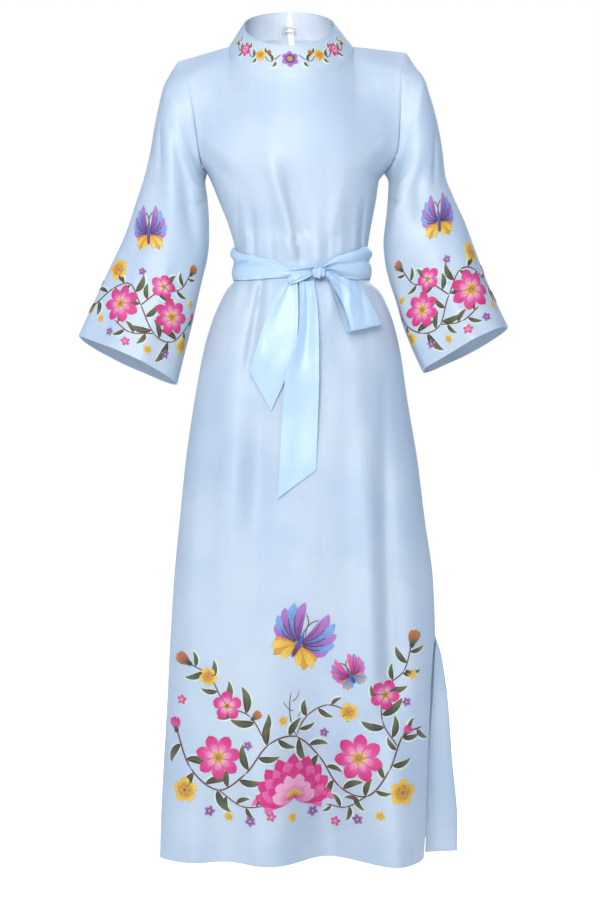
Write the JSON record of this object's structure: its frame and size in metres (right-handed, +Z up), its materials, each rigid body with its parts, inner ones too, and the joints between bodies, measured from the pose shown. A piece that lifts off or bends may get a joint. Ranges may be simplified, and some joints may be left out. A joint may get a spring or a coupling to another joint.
{
  "type": "ao dai tunic with a tied sash",
  "caption": "Long tunic dress with a stand collar, three-quarter bell sleeves, side slits and a sash tied in a half bow at the waist.",
  "frame": {"origin": "middle of the neck base, level with the inner ends of the shoulder seams", "axes": "+Z up, the front of the dress faces -Y, +X is on the right of someone who looks at its front"},
  "size_m": [0.6827, 0.306, 1.3539],
  "materials": {
    "dress_cloth": "pale sky-blue satin-faced cloth, soft sheen",
    "collar_cloth": "the same cloth, stiffened",
    "sash_cloth": "the same cloth, folded double"
  },
  "bodies": {
    "root": {"front_panel": "dress_cloth", "back_panel_left": "dress_cloth", "back_panel_right": "dress_cloth", "sleeve_left": "dress_cloth", "sleeve_right": "dress_cloth", "collar": "collar_cloth", "slit_facing_left": "collar_cloth", "slit_facing_right": "collar_cloth", "sash_band": "sash_cloth", "sash_knot": "sash_cloth", "sash_wrap": "sash_cloth", "bow_loop": "sash_cloth", "tail_left": "sash_cloth", "tail_right": "sash_cloth"}
  },
  "joints": []
}
